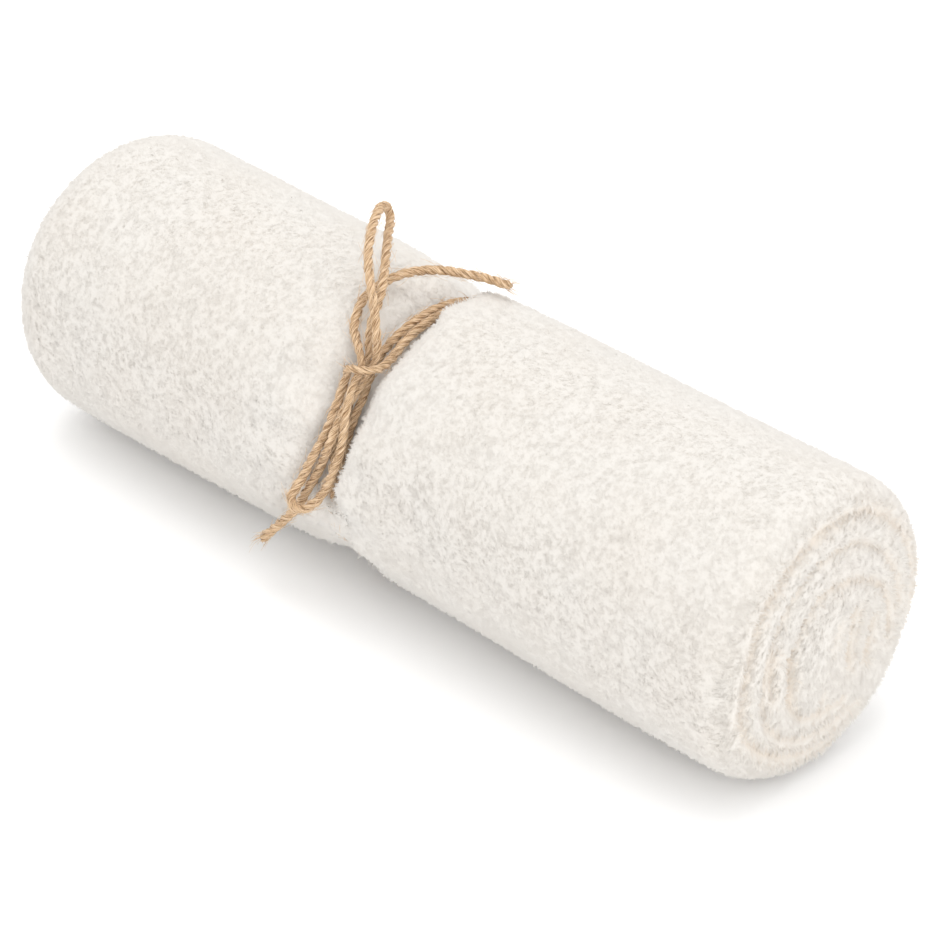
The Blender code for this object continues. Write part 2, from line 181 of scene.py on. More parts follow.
# How far in from the rim a crease starts, how much of the shallower adds to the deeper where two meet, the
# share of the solid's depth that each has here, and the depth at which the warm shade painted into it is full
CREASE_START = 0.003
CREASE_SUM = 0.3
CREASE_SHARE = 0.6
CREASE_SHADE_DEPTH = 0.004

# The back end's turns, as its solid has them
BACK_CREASE_DEPTH = 3.4
BACK_CREASE_WIDTH = 2.0
BACK_TURNS = 3.6
POINTS_PER_TURN = 40
TURN_THICKNESS = 0.0115
CORE_SHIFT_Y = 0.013
CORE_SHIFT_Z = -0.006
CORE_FLATTENING = 0.42

# The pile: small tufts of tapered strands, fewer where the cloth faces down and more on the front end
SEED = 20
NOISE_WAVES = 12
CLUMPS = 82000
STRANDS_PER_CLUMP = 3
CLUMP_RADIUS = 0.0009
CLUMPING = 0.3
DOWNWARD = -0.6
HIDDEN_SHARE = 0.35
ENDWARD = 0.6
END_SHARE = 1.25
PINCH_REACH = 0.062
TWINE_CLEARANCE = 0.00195
PILE_PIECES = 5

# A strand: its length, its width, how flat it is, how deep it is rooted, and how much each strays
STRAND_LENGTH = 0.0031
END_STRAND_LENGTH = 0.0038
LENGTH_WISP = 0.10
LENGTH_SPREAD = 0.08
STRAND_LENGTHS = (0.72, 1.12)
STRAND_SPREAD = 0.08
STRAND_WIDTH = 0.00075
STRAND_WIDTHS = (0.75, 1.25)
STRAND_FLATNESS = 0.08
ROOT_DEPTH = 0.0006
ROOT_HEIGHT = 0.4
TOP_SOFTNESS = 1.0

# How far strands lean over from the cloth's normal, in radians: most, the few slim ones that stand out as
# fuzz, and those under the roll
LEAN = 1.42
LEAN_WISP = 0.04
LEAN_SPREAD = 0.04
FUZZ_LEAN = 1.15
FUZZ_SHARE = 0.04
FUZZ_WIDTH = 0.4
REST_LEAN = 1.35

# The way that they lean, as shares of a sum: soft swirls and wisps of these sizes, scatter, outward and down
# on the ends, round the roll on its side, and over the twine where they stand to its right
SWIRL_SIZE = 0.016
WISP_SIZE = 0.0045
SWIRL_SHARE = 0.25
WISP_SHARE = 0.4
SCATTER = 0.75
END_START = 0.5
END_RISE = 0.4
END_LEAN = 0.9
END_DROP = 0.6
SIDE_LEAN = 0.35
TWINE_LEAN = 2.0
BESIDE_START = 2.0
BESIDE_RISE = 3.0
BESIDE_STOP = 9.0
BESIDE_FALL = 8.0

# The nap, brushed this way where the cloth's normal is nearly at right angles to it
NAP = (-0.58, 0.60, -0.56)
NAP_SHARE = 2.6
NAP_REACH = 0.75
NAP_RISE = 0.5
NAP_FALL = 0.3

# The maps named for baking: the roll's side below, its two ends above, and the plies in rows
MAP_LENGTH = 0.96
MAP_SIDE_START = 0.02
MAP_SIDE_HEIGHT = 0.6
MAP_FRONT_MIDDLE = (0.25, 0.82)
MAP_BACK_MIDDLE = (0.75, 0.82)
MAP_END_RADIUS = 0.16
MAP_ENDWARD = 0.7
MAP_SPOT = 0.0012
MAP_MARGIN = 0.08
RINGS_PER_ROW = 240

# The twine: its plies, with their fibres as ridges, and the even turns in the pinch
TWINE_DIAMETER = 0.0035
TWINE_LAY = 0.0128
PLIES = 3
PLY_RADIUS = 0.00092
RINGS_PER_LAY = 20
PLY_SIDES = 9
PLY_WANDER = 0.05
WANDER_SIZE = 0.009
RIDGES = 3.0
RIDGE_HEIGHT = 0.045
RIDGE_TWIST = 1.7
RIDGE_SPREAD = 0.02
END_TAPER = 0.25
END_TAPER_RINGS = 3.0
SAMPLES_PER_ROW = 40
LANE_OFFSET = 1.95
RING_RADIUS = 48.25
RING_STEP = 20.0
RING_FROM = 84.0
RING_TO = 376.0

# Its loose fibres, some of them at its two ends: their sizes, how far they lift off and sway as a share of
# their lengths, how they bow, and how deep in the twine they start
STRAY_FIBRES = 2400
END_FIBRES = 60
END_FIBRE_REACH = 8
STRAY_RADIUS = 0.0001
STRAY_TAPER = 0.6
STRAY_SIDES = 3
STRAY_RINGS = 4
STRAY_LENGTHS = (0.0016, 0.0065)
STRAY_LIFTS = (0.08, 0.55)
STRAY_BOW = 1.4
STRAY_FALL = 0.6
STRAY_SWAY = 0.22
STRAY_START = 0.86

# The bow's stretches from the first free end to the second: how far along the roll from the pinch, the angle
# round the roll, the distance from its axis and, where the knot squeezes the twine, the share of its width
FIRST_END_AND_LOWER_LOOP = (
    {"along": 15.0, "angle": 113.5, "radius": 60.7},
    {"along": 6.5, "angle": 111.5, "radius": 60.1},
    {"along": -2.0, "angle": 107.5, "radius": 59.3},
    {"along": -9.2, "angle": 103.0, "radius": 58.4},
    {"along": -13.2, "angle": 95.6, "radius": 58.4},
    {"along": -15.8, "angle": 88.4, "radius": 58.2},
    {"along": -17.3, "angle": 82.8, "radius": 57.7},
    {"along": -17.9, "angle": 77.4, "radius": 57.4},
    {"along": -17.1, "angle": 71.8, "radius": 57.0},
    {"along": -15.2, "angle": 66.3, "radius": 56.2},
    {"along": -12.4, "angle": 61.6, "radius": 55.4},
    {"along": -8.8, "angle": 58.4, "radius": 54.9, "width": 0.95},
    {"along": -4.8, "angle": 55.2, "radius": 55.0, "width": 0.85},
    {"along": -1.4, "angle": 51.4, "radius": 54.5, "width": 0.83},
    {"along": -0.1, "angle": 47.5, "radius": 54.6, "width": 0.83},
    {"along": 1.2, "angle": 41.0, "radius": 55.1, "width": 0.90},
    {"along": 2.7, "angle": 33.0, "radius": 54.5, "width": 0.95},
    {"along": 3.6, "angle": 26.0, "radius": 53.2},
    {"along": 3.8, "angle": 18.5, "radius": 52.4},
    {"along": 2.1, "angle": 8.8, "radius": 52.3},
    {"along": -1.6, "angle": -1.7, "radius": 53.0},
    {"along": -4.1, "angle": -6.6, "radius": 56.0},
    {"along": -6.8, "angle": -8.5, "radius": 59.2},
    {"along": -9.9, "angle": -8.0, "radius": 60.6},
    {"along": -12.0, "angle": -5.5, "radius": 59.2},
    {"along": -11.6, "angle": -2.2, "radius": 56.4},
    {"along": -10.7, "angle": 1.6, "radius": 54.2},
    {"along": -8.3, "angle": 9.1, "radius": 53.3},
    {"along": -5.3, "angle": 21.1, "radius": 51.7},
    {"along": -4.5, "angle": 32.1, "radius": 52.0},
    {"along": -5.0, "angle": 40.7, "radius": 52.2, "width": 0.95},
    {"along": -5.1, "angle": 45.3, "radius": 53.6, "width": 0.85},
)
WRAP = (
    {"along": -3.3, "angle": 47.6, "radius": 57.0, "width": 0.85},
    {"along": 1.2, "angle": 48.6, "radius": 58.3, "width": 0.85},
    {"along": 4.7, "angle": 50.4, "radius": 56.8, "width": 0.85},
    {"along": 5.7, "angle": 54.1, "radius": 53.4, "width": 0.90},
    {"along": 4.3, "angle": 60.2, "radius": 50.0},
    {"along": 2.6, "angle": 70.0, "radius": 48.5},
)
CROSSING = (
    {"along": 1.95, "angle": 30.0, "radius": 48.25},
    {"along": 1.8, "angle": 40.0, "radius": 48.1, "width": 0.9},
    {"along": 0.0, "angle": 50.0, "radius": 47.9, "width": 0.83},
    {"along": -1.8, "angle": 60.0, "radius": 48.1, "width": 0.9},
    {"along": -1.95, "angle": 70.0, "radius": 48.25},
)
UPPER_LOOP_AND_SECOND_END = (
    {"along": -1.95, "angle": 30.0, "radius": 48.25},
    {"along": -2.1, "angle": 37.0, "radius": 48.5, "width": 0.9},
    {"along": -2.1, "angle": 43.5, "radius": 49.9, "width": 0.83},
    {"along": -2.1, "angle": 50.0, "radius": 51.1, "width": 0.83},
    {"along": -3.0, "angle": 56.0, "radius": 51.7, "width": 0.85},
    {"along": -4.6, "angle": 60.5, "radius": 54.6, "width": 0.95},
    {"along": -6.0, "angle": 65.0, "radius": 57.8},
    {"along": -7.0, "angle": 70.0, "radius": 60.6},
    {"along": -9.2, "angle": 75.0, "radius": 62.6},
    {"along": -13.0, "angle": 80.4, "radius": 65.0},
    {"along": -17.8, "angle": 85.7, "radius": 67.2},
    {"along": -25.1, "angle": 92.9, "radius": 69.0},
    {"along": -30.8, "angle": 98.3, "radius": 70.8},
    {"along": -33.1, "angle": 98.8, "radius": 74.2},
    {"along": -30.3, "angle": 93.9, "radius": 77.6},
    {"along": -26.0, "angle": 89.0, "radius": 78.6},
    {"along": -21.0, "angle": 83.5, "radius": 78.0},
    {"along": -14.5, "angle": 76.8, "radius": 74.6},
    {"along": -8.4, "angle": 71.8, "radius": 70.4},
    {"along": -3.6, "angle": 67.8, "radius": 66.6},
    {"along": 0.2, "angle": 63.2, "radius": 62.6},
    {"along": 1.7, "angle": 59.6, "radius": 57.8, "width": 0.95},
    {"along": 1.4, "angle": 56.0, "radius": 53.2, "width": 0.85},
    {"along": 1.3, "angle": 51.0, "radius": 51.2, "width": 0.83},
    {"along": 1.2, "angle": 46.0, "radius": 51.3, "width": 0.83},
    {"along": 0.5, "angle": 40.5, "radius": 51.7, "width": 0.90},
    {"along": -0.4, "angle": 33.5, "radius": 52.0, "width": 0.95},
    {"along": -0.6, "angle": 26.3, "radius": 52.5},
    {"along": -1.8, "angle": 17.2, "radius": 52.6},
    {"along": -6.9, "angle": 4.0, "radius": 50.4},
    {"along": -10.6, "angle": -6.1, "radius": 53.2},
    {"along": -14.0, "angle": -13.1, "radius": 54.8},
    {"along": -16.8, "angle": -17.4, "radius": 57.0},
    {"along": -21.4, "angle": -22.7, "radius": 59.2},
    {"along": -26.0, "angle": -27.2, "radius": 61.6},
    {"along": -31.2, "angle": -31.9, "radius": 65.8},
)

# The camera, for the picture's 935 by 935 pixels
PICTURE_SIZE = 935
SENSOR_WIDTH = 36.0
CAMERA_AZIMUTH = 44.0
CAMERA_ELEVATION = 34.0
CAMERA_DISTANCE = 1.475
FOCAL_PIXELS = 4139.0
CAMERA_RIGHT = 0.0083
CAMERA_UP = -0.0131
CAMERA_AIM_HEIGHT = 0.0565

# The floor and the light
FLOOR_SIZE = 30.0
FLOOR_COLOUR = (0.96, 0.96, 0.96)
WORLD_COLOUR = (1.0, 1.0, 1.0)
WORLD_STRENGTH = 1.15
LIGHTS = (
    {"name": "key", "place": (-0.3, 0.1, 1.9), "size": 1.6, "energy": 11.0, "colour": (1.0, 1.0, 1.0)},
    {"name": "fill", "place": (2.0, -0.9, 0.8), "size": 1.6, "energy": 12.0, "colour": (1.0, 0.99, 0.98)},
)

# The colours, and how many patches, grains and shades a metre has
CLOTH_LIGHT = (0.66, 0.632, 0.592)
CLOTH_WARM = (0.653, 0.619, 0.574)
# The warm shade painted into the creases of the front end, darker and warmer than the cloth at their deepest
CLOTH_CREASE_SHADE = (0.675, 0.598, 0.512)
# The light painted into the pinch, paler than the cloth, to lift the shade that falls in it
CLOTH_PINCH_LIGHT = (0.79, 0.762, 0.725)
TWINE_TAN = (0.56, 0.375, 0.215)
TWINE_PALE = (0.78, 0.59, 0.40)
TWINE_DARK = (0.20, 0.105, 0.045)
CLOTH_PATCHES = 34.0
CLOTH_GRAIN = 900.0
JUTE_STREAKS = (260.0, 14.0, 1.0)
JUTE_SLANT = 0.35
FIBRE_SHADES = 400.0


def blend(value):
    """A smooth rise from 0 to 1."""
    share = np.clip(value, 0.0, 1.0)
    return share * share * (3.0 - 2.0 * share)


def unit(vectors):
    """These vectors at length 1."""
    return vectors / np.maximum(np.linalg.norm(vectors, axis=-1, keepdims=True), 1e-12)


def wave_noise(points, size, seed):
    """A smooth random value at each point, about -1 to 1, in lumps of this size: slanted waves added up."""
    rng = np.random.default_rng(seed)
    total = np.zeros(len(points))
    for _ in range(NOISE_WAVES):
        direction = unit(rng.normal(size=3))
        frequency = math.tau / size * rng.uniform(0.45, 1.15)
        total += np.sin(points @ (direction * frequency) + rng.uniform(0.0, math.tau))
    return total / math.sqrt(NOISE_WAVES)


def new_mesh(name, points, faces, smooth=True):
    """A mesh from arrays of points and of faces that all have as many corners."""
    mesh = bpy.data.meshes.new(name)
    corners = faces.shape[1]
    mesh.vertices.add(len(points))
    mesh.vertices.foreach_set("co", np.asarray(points, np.float32).ravel())
    mesh.loops.add(faces.size)
    mesh.loops.foreach_set("vertex_index", faces.astype(np.int32).ravel())
    mesh.polygons.add(len(faces))
    mesh.polygons.foreach_set("loop_start", np.arange(0, faces.size, corners, dtype=np.int32))
    mesh.update(calc_edges=True)
    mesh.polygons.foreach_set("use_smooth", np.full(len(faces), smooth))
    return mesh


def add_piece(name, mesh, material):
    """A new piece of the object, which rides with it and has this material in its one slot."""
    piece = bpy.data.objects.new(name, mesh)
    bpy.context.scene.collection.objects.link(piece)
    mesh.materials.append(material)
    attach(piece, "root")
    return piece


def set_map(mesh, name, corners):
    """A map of the surface: where each corner of each face lies on it."""
    layer = mesh.uv_layers.new(name=name)
    layer.uv.foreach_set("vector", np.asarray(corners, np.float32).ravel())


def add_camera():
    azimuth = math.radians(CAMERA_AZIMUTH)
    elevation = math.radians(CAMERA_ELEVATION)
    back = Vector((
        math.sin(azimuth) * math.cos(elevation),
        -math.cos(azimuth) * math.cos(elevation),
        math.sin(elevation),
    ))
    right = Vector((math.cos(azimuth), math.sin(azimuth), 0.0))
    up = back.cross(right)
    aim = Vector((0.0, 0.0, CAMERA_AIM_HEIGHT))
    place = aim + back * CAMERA_DISTANCE + right * CAMERA_RIGHT + up * CAMERA_UP
    data = bpy.data.cameras.new("camera")
    data.sensor_width = SENSOR_WIDTH
    data.lens = SENSOR_WIDTH * FOCAL_PIXELS / PICTURE_SIZE
    camera = bpy.data.objects.new("camera", data)
    turned = Matrix((right, up, back)).transposed().to_4x4()
    camera.matrix_world = Matrix.Translation(place) @ turned
    bpy.context.scene.collection.objects.link(camera)
    bpy.context.scene.camera = camera


def ring_turn(along):
    """The part of a turn round the roll that lies in the pinch, away from the knot."""
    steps = round((RING_TO - RING_FROM) / RING_STEP)
    spacing = (RING_TO - RING_FROM) / steps
    return [
        {"along": along, "angle": RING_FROM + step * spacing, "radius": RING_RADIUS}
        for step in range(steps + 1)
    ]


def route_rows():
    """The twine's route: the first free end, the lower loop, the wrap over the knot, two turns round the
    roll, the upper loop and the second free end."""
    rows = [*FIRST_END_AND_LOWER_LOOP, *WRAP]
    rows += ring_turn(LANE_OFFSET)
    rows += CROSSING
    rows += ring_turn(-LANE_OFFSET)
    rows += UPPER_LOOP_AND_SECOND_END
    return rows


def route_point(row):
    angle = math.radians(row["angle"])
    radius = row["radius"] * MM
    x = PINCH_X + row["along"] * MM
    return Vector((x, -radius * math.cos(angle), AXIS_HEIGHT + radius * math.sin(angle)))


def smooth_route(rows):
    """Close-set samples of a smooth curve through the route's points: each place and the twine's width there.
    Its steps go by the square root of the distance, so that the curve makes no loops of its own."""
    points = [route_point(row) for row in rows]
    widths = [row.get("width", 1.0) for row in rows]
    points = [points[0] * 2 - points[1], *points, points[-1] * 2 - points[-2]]
    samples = []
    for index in range(len(rows) - 1):
        a, b, c, d = points[index : index + 4]
        t1 = math.sqrt((b - a).length)
        t2 = t1 + math.sqrt((c - b).length)
        t3 = t2 + math.sqrt((d - c).length)
        for step in range(SAMPLES_PER_ROW):
            share = step / SAMPLES_PER_ROW
            t = t1 + share * (t2 - t1)
            ab = a * ((t1 - t) / t1) + b * (t / t1)
            bc = b * ((t2 - t) / (t2 - t1)) + c * ((t - t1) / (t2 - t1))
            cd = c * ((t3 - t) / (t3 - t2)) + d * ((t - t2) / (t3 - t2))
            abc = ab * ((t2 - t) / t2) + bc * (t / t2)
            bcd = bc * ((t3 - t) / (t3 - t1)) + cd * ((t - t1) / (t3 - t1))
            place = abc * ((t2 - t) / (t2 - t1)) + bcd * ((t - t1) / (t2 - t1))
            samples.append((*place, widths[index] + share * (widths[index + 1] - widths[index])))
    samples.append((*points[-2], widths[-1]))
    return np.array(samples)


def even_route():
    """The twine's centreline at even spacing: its points and its width at each."""
    samples = smooth_route(route_rows())
    steps = np.linalg.norm(np.diff(samples[:, :3], axis=0), axis=1)
    walked = np.concatenate(([0.0], np.cumsum(steps)))
    count = round(walked[-1] / (TWINE_LAY / RINGS_PER_LAY)) + 1
    places = np.linspace(0.0, walked[-1], count)
    even = np.stack([np.interp(places, walked, samples[:, column]) for column in range(4)], axis=1)
    return even[:, :3], even[:, 3], walked[-1]


def carried_frames(centres):
    """Two directions across a line at each of its points, carried along it without twist."""
    tangents = unit(np.gradient(centres, axis=0))
    first = unit(np.cross(tangents[0], (0.3, 0.2, 1.0)))
    across = [first]
    for tangent in tangents[1:]:
        carried = across[-1] - tangent * (across[-1] @ tangent)
        across.append(unit(carried))
    across = np.array(across)
    return tangents, across, np.cross(tangents, across)


def tube(centres, across, beside, radii, sides):
    """Rings of points round a line, as an array of rings."""
    angles = np.arange(sides) * math.tau / sides
    ring = across[:, None] * np.cos(angles)[None, :, None] + beside[:, None] * np.sin(angles)[None, :, None]
    return centres[:, None] + ring * radii[:, :, None]


def tube_faces(rings, sides):
    """Quads between rings of points that follow each other."""
    ring = np.arange(rings - 1)[:, None] * sides
    here = np.arange(sides)[None, :]
    after = (here + 1) % sides
    quads = np.stack((ring + here, ring + after, ring + sides + after, ring + sides + here), axis=-1)
    return quads.reshape(-1, 4)


def add_twine(material):
    """Three plies laid round the route, each a tube with its own fibres."""
    centres, widths, length = even_route()
    _, across, beside = carried_frames(centres)
    count = len(centres)
    lay_angle = np.arange(count) * math.tau / RINGS_PER_LAY
    rng = np.random.default_rng(SEED + 1)
    end = np.minimum(np.arange(count), np.arange(count)[::-1])
    taper = (1.0 - END_TAPER) + END_TAPER * blend(end / END_TAPER_RINGS)
    points = []
    faces = []
    strand_map = []
    bake_map = []
    for ply in range(PLIES):
        angle = lay_angle + ply * math.tau / PLIES
        outward = across * np.cos(angle)[:, None] + beside * np.sin(angle)[:, None]
        wander = 1.0 + PLY_WANDER * wave_noise(centres + ply, WANDER_SIZE, SEED + 10 + ply)
        helix = (TWINE_DIAMETER / 2 - PLY_RADIUS) * widths * taper
        middle = centres + outward * helix[:, None]
        tangents = unit(np.gradient(middle, axis=0))
        outward = unit(outward - tangents * np.sum(outward * tangents, axis=1, keepdims=True))
        side = np.cross(tangents, outward)
        around = np.arange(PLY_SIDES) * math.tau / PLY_SIDES
        ridge_angle = RIDGES * around[None, :] - RIDGE_TWIST * lay_angle[:, None] + ply
        ridges = 1.0 + RIDGE_HEIGHT * np.sin(ridge_angle)
        ridges += rng.normal(scale=RIDGE_SPREAD, size=ridges.shape)
        radii = PLY_RADIUS * (widths * wander * taper)[:, None] * ridges
        first = ply * count * PLY_SIDES
        points.append(tube(middle, outward, side, radii, PLY_SIDES).reshape(-1, 3))
        faces.append(tube_faces(count, PLY_SIDES) + first)
        strand_map.append(strand_corners(count, ply))
        bake_map.append(bake_corners(count, ply))
    mesh = new_mesh("jute_twine_plies", np.concatenate(points), np.concatenate(faces))
    set_map(mesh, "strand", np.concatenate(strand_map))
    set_map(mesh, "OFBake", np.concatenate(bake_map))
    piece = add_piece("jute_twine_plies", close_ends(mesh), material)
    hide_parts("jute_twine")
    return piece, centres, widths, length


def close_ends(mesh):
    """The same mesh with its open rings filled."""
    bm = bmesh.new()
    bm.from_mesh(mesh)
    bmesh.ops.holes_fill(bm, edges=[edge for edge in bm.edges if edge.is_boundary], sides=PLY_SIDES)
    bm.to_mesh(mesh)
    bm.free()
    return mesh


def strand_corners(count, ply):
    """Each face's corners on the plies' map: metres along the ply, and the share of the way round it."""
    ring = np.arange(count - 1)[:, None] + np.zeros(PLY_SIDES)[None, :]
    side = np.arange(PLY_SIDES)[None, :] + np.zeros(count - 1)[:, None]
    along = np.stack((ring, ring, ring + 1, ring + 1), axis=-1) * TWINE_LAY / RINGS_PER_LAY
    round_it = np.stack((side, side + 1, side + 1, side), axis=-1) / PLY_SIDES
    return np.stack((along + 2.0 * ply, round_it), axis=-1)


def bake_corners(count, ply):
    """The same corners on a map without overlaps: the ply cut into rows that lie under each other."""
    rows = math.ceil((count - 1) / RINGS_PER_ROW)
    ring = np.arange(count - 1)[:, None] + np.zeros(PLY_SIDES)[None, :]
    row = np.floor(ring / RINGS_PER_ROW)
    side = np.arange(PLY_SIDES)[None, :] + np.zeros(count - 1)[:, None]
    start = ring - row * RINGS_PER_ROW
    along = np.stack((start, start, start + 1, start + 1), axis=-1) / RINGS_PER_ROW
    across = np.stack((side, side + 1, side + 1, side), axis=-1) / PLY_SIDES
    height = (ply * rows + row[..., None] + MAP_MARGIN + across * (1.0 - 2.0 * MAP_MARGIN)) / (PLIES * rows)
    return np.stack((along, height), axis=-1)


def add_stray_fibres(centres, widths, material):
    """Loose fibres that stand off the twine, most of them along it, with more at its two ends."""
    rng = np.random.default_rng(SEED + 2)
    tangents, across, beside = carried_frames(centres)
    ends = rng.integers(0, END_FIBRE_REACH, END_FIBRES)
    at_ends = np.where(rng.random(END_FIBRES) < 0.5, ends, len(centres) - 1 - ends)
    at = np.concatenate((rng.integers(0, len(centres), STRAY_FIBRES - END_FIBRES), at_ends))
    angle = rng.uniform(0.0, math.tau, STRAY_FIBRES)
    outward = across[at] * np.cos(angle)[:, None] + beside[at] * np.sin(angle)[:, None]
    way = np.where(rng.random(STRAY_FIBRES) < 0.5, -1.0, 1.0)
    way[-END_FIBRES:] = np.where(at_ends < len(centres) / 2, -1.0, 1.0)
    forward = tangents[at] * way[:, None]
    reach = rng.uniform(*STRAY_LENGTHS, STRAY_FIBRES)
    lift = rng.uniform(*STRAY_LIFTS, STRAY_FIBRES) * reach
    start = centres[at] + outward * (TWINE_DIAMETER / 2 * STRAY_START * widths[at])[:, None]
    side = np.cross(forward, outward)
    sway = side * (rng.normal(scale=STRAY_SWAY, size=STRAY_FIBRES) * reach)[:, None]
    shares = np.linspace(0.0, 1.0, STRAY_RINGS)
    points = []
    for share in shares:
        bend = outward * (lift * share * (STRAY_BOW - STRAY_FALL * share))[:, None]
        points.append(start + forward * (reach * share)[:, None] + bend + sway * share * share)
    line = np.stack(points, axis=1)
    line[..., 2] = np.maximum(line[..., 2], STRAY_RADIUS)
    turn = np.arange(STRAY_SIDES) * math.tau / STRAY_SIDES
    ring = outward[:, None] * np.cos(turn)[None, :, None] + side[:, None] * np.sin(turn)[None, :, None]
    rings = []
    for index, share in enumerate(shares):
        rings.append(line[:, index, None] + ring * (STRAY_RADIUS * (1.0 - STRAY_TAPER * share)))
    points = np.stack(rings, axis=1).reshape(-1, 3)
    quads = tube_faces(STRAY_RINGS, STRAY_SIDES)
    faces = quads[None] + (np.arange(STRAY_FIBRES) * STRAY_RINGS * STRAY_SIDES)[:, None, None]
    mesh = new_mesh("jute_stray_fibres", points, faces.reshape(-1, 4))
    return add_piece("jute_stray_fibres", mesh, material)


def pinch_columns():
    """The columns of PINCH_SHAPE at even steps between its rows, with their corners rounded off."""
    rows = len(PINCH_SHAPE)
    steps = np.linspace(0, rows - 1, (rows - 1) * PINCH_STEPS + 1)
    columns = []
    for column in zip(*PINCH_SHAPE):
        values = np.interp(steps, np.arange(rows), column)
        for _ in range(PINCH_ROUNDING):
            values[1:-1] = (values[:-2] + 2.0 * values[1:-1] + values[2:]) / 4.0
        columns.append(values)
    return columns


def bulge(angle, offset):
    """How far the cloth at these angles bulges over the twine from the side that this offset is on."""
    degrees, left, right = zip(*BULGES)
    angles = [math.radians(value) for value in degrees]
    return blend(np.interp(angle, angles, left if offset < 0.0 else right, period=math.tau))


def pinch_rings(angle, inset):
    """Rings of points across the pinch, each a little overhanging where the cloth bulges over the twine."""
    rings = []
    for offset, depth, gather, over, over_depth in zip(*pinch_columns()):
        share = bulge(angle, offset)
        x = PINCH_X + (offset + (over - offset) * share) * MM
        deep = depth + (over_depth - depth) * share
        rings.append(side_points(x, angle, inset, deep, gather))
    return rings


def unevenness(x, angle):
    """How far the roll's lumps stand out here."""
    waves = [np.sin(lump["around"] * angle + lump["per_metre"] * x + lump["start"]) for lump in LUMPS]
    return sum(lump["height"] * wave for lump, wave in zip(LUMPS, waves))


def ring_shape():
    """The roll's outline from the lap all the way round and down the cloth's free edge: each point's angle in
    radians, how far it is inside the roll's radius, and an even angle for the rings inside the ends."""
    share = np.linspace(0.0, 1.0, AROUND + 1)
    rounding = LAP_ROUNDING * blend((share - LAP_ROUNDING_FROM) / (1.0 - LAP_ROUNDING_FROM))
    inset = LAP_THICKNESS * (1.0 - blend(share * 360.0 / LAP_RAMP)) + rounding
    out = np.linspace(1.0, 0.0, LAP_ROWS + 2)[1:-1]
    edge_inset = LAP_THICKNESS * (1.0 - out) + LAP_ROUNDING * out
    share = np.concatenate((share, 1.0 + EDGE_BULGE * out * (1.0 - out)))
    even = np.arange(len(share)) / len(share)
    start = math.radians(LAP_ANGLE)
    return start + math.tau * share, np.concatenate((inset, edge_inset)), start + math.tau * even


def side_radius(x, angle, inset, depth, gather):
    """The roll's radius at these places along and round it: drawn in by the pinch, less the pile."""
    radius = ROLL_RADIUS - PILE_HEIGHT - PINCH_DEPTH * depth - inset * (1.0 - PINCH_SQUEEZE * depth)
    radius += (1.0 - depth) * unevenness(x, angle)
    return radius + gather * GATHER_HEIGHT * np.cos(GATHERS * angle + GATHER_SWAY * np.sin(2.0 * angle))


def side_points(x, angle, inset, depth, gather):
    """One ring of points round the roll."""
    x = x + np.zeros(len(angle))
    radius = side_radius(x, angle, inset, depth, gather)
    z = np.maximum(AXIS_HEIGHT + radius * np.sin(angle), REST_HEIGHT)
    return np.stack((x, -radius * np.cos(angle), z), axis=-1)


def rim_drop(inset, rim_radius):
    """How far the rounded rim falls back from the end's plane at this inset."""
    along = np.maximum(1.0 - inset / rim_radius, 0.0)
    return rim_radius * (1.0 - (1.0 - along**RIM_POWER) ** (1.0 / RIM_POWER))


def crease_depth(y, z, creases):
    """How deep the creases are at these points of an end: each is a soft valley along its own line."""
    depth = np.zeros_like(y)
    place = np.stack((y, z), axis=-1) / MM
    for crease in creases:
        line = np.array(crease["points"], float)
        nearest = np.full(len(y), np.inf)
        for start, stop in zip(line, line[1:]):
            run = stop - start
            share = np.clip(((place - start) @ run) / (run @ run), 0.0, 1.0)
            nearest = np.minimum(nearest, np.linalg.norm(place - start - share[:, None] * run, axis=1))
        valley = crease["depth"] * np.exp(-((nearest / crease["width"]) ** 2))
        depth = np.maximum(depth, valley) + CREASE_SUM * np.minimum(depth, valley)
    return depth * MM


def back_creases():
    """The back end's turns: one crease that winds in from the lap, as its solid has it."""
    share = np.linspace(0.0, BACK_TURNS, round(BACK_TURNS * POINTS_PER_TURN))
    inset = LAP_THICKNESS + TURN_THICKNESS * share
    angle = math.radians(LAP_ANGLE) - math.tau * share
    inward = inset / ROLL_RADIUS
    radius = ROLL_RADIUS - inset
    y = -radius * np.cos(angle) * (1.0 - CORE_FLATTENING * blend(inward)) + CORE_SHIFT_Y * inward
    z = AXIS_HEIGHT + radius * np.sin(angle) + CORE_SHIFT_Z * inward
    points = np.stack((y, z), axis=-1) / MM
    return ({"depth": BACK_CREASE_DEPTH, "width": BACK_CREASE_WIDTH, "points": points},)


def end_rings(side, rim_radius, creases):
    """Rings of points from a rim to the middle of its end."""
    angle, inset, even = ring_shape()
    length = ROLL_LENGTH / 2 - PILE_HEIGHT
    inner = np.linspace(RIM_STEPS[-1], ROLL_RADIUS - PILE_HEIGHT, END_RINGS + 1)[1:]
    rings = []
    for step in (*RIM_STEPS, *inner):
        fade = blend(step / LAP_FADE)
        here = angle + (even - angle) * fade
        x = side * (length - rim_drop(step, rim_radius))
        reach = side_radius(x, here, inset * (1.0 - fade), 0.0, 0.0)
        reach = reach * (1.0 - step / (ROLL_RADIUS - PILE_HEIGHT))
        y = -reach * np.cos(here)
        z = np.maximum(AXIS_HEIGHT + reach * np.sin(here), REST_HEIGHT)
        sunk = CREASE_SHARE * crease_depth(y, z, creases) * blend((step - CREASE_START) / CREASE_START)
        rings.append(np.stack((np.full(len(y), x) - side * sunk, y, z), axis=-1))
    return rings


def even_stations(start, stop):
    """Places along the roll between these two, without them."""
    return np.linspace(start, stop, round((stop - start) / STATION_SPACING) + 1)[1:-1]


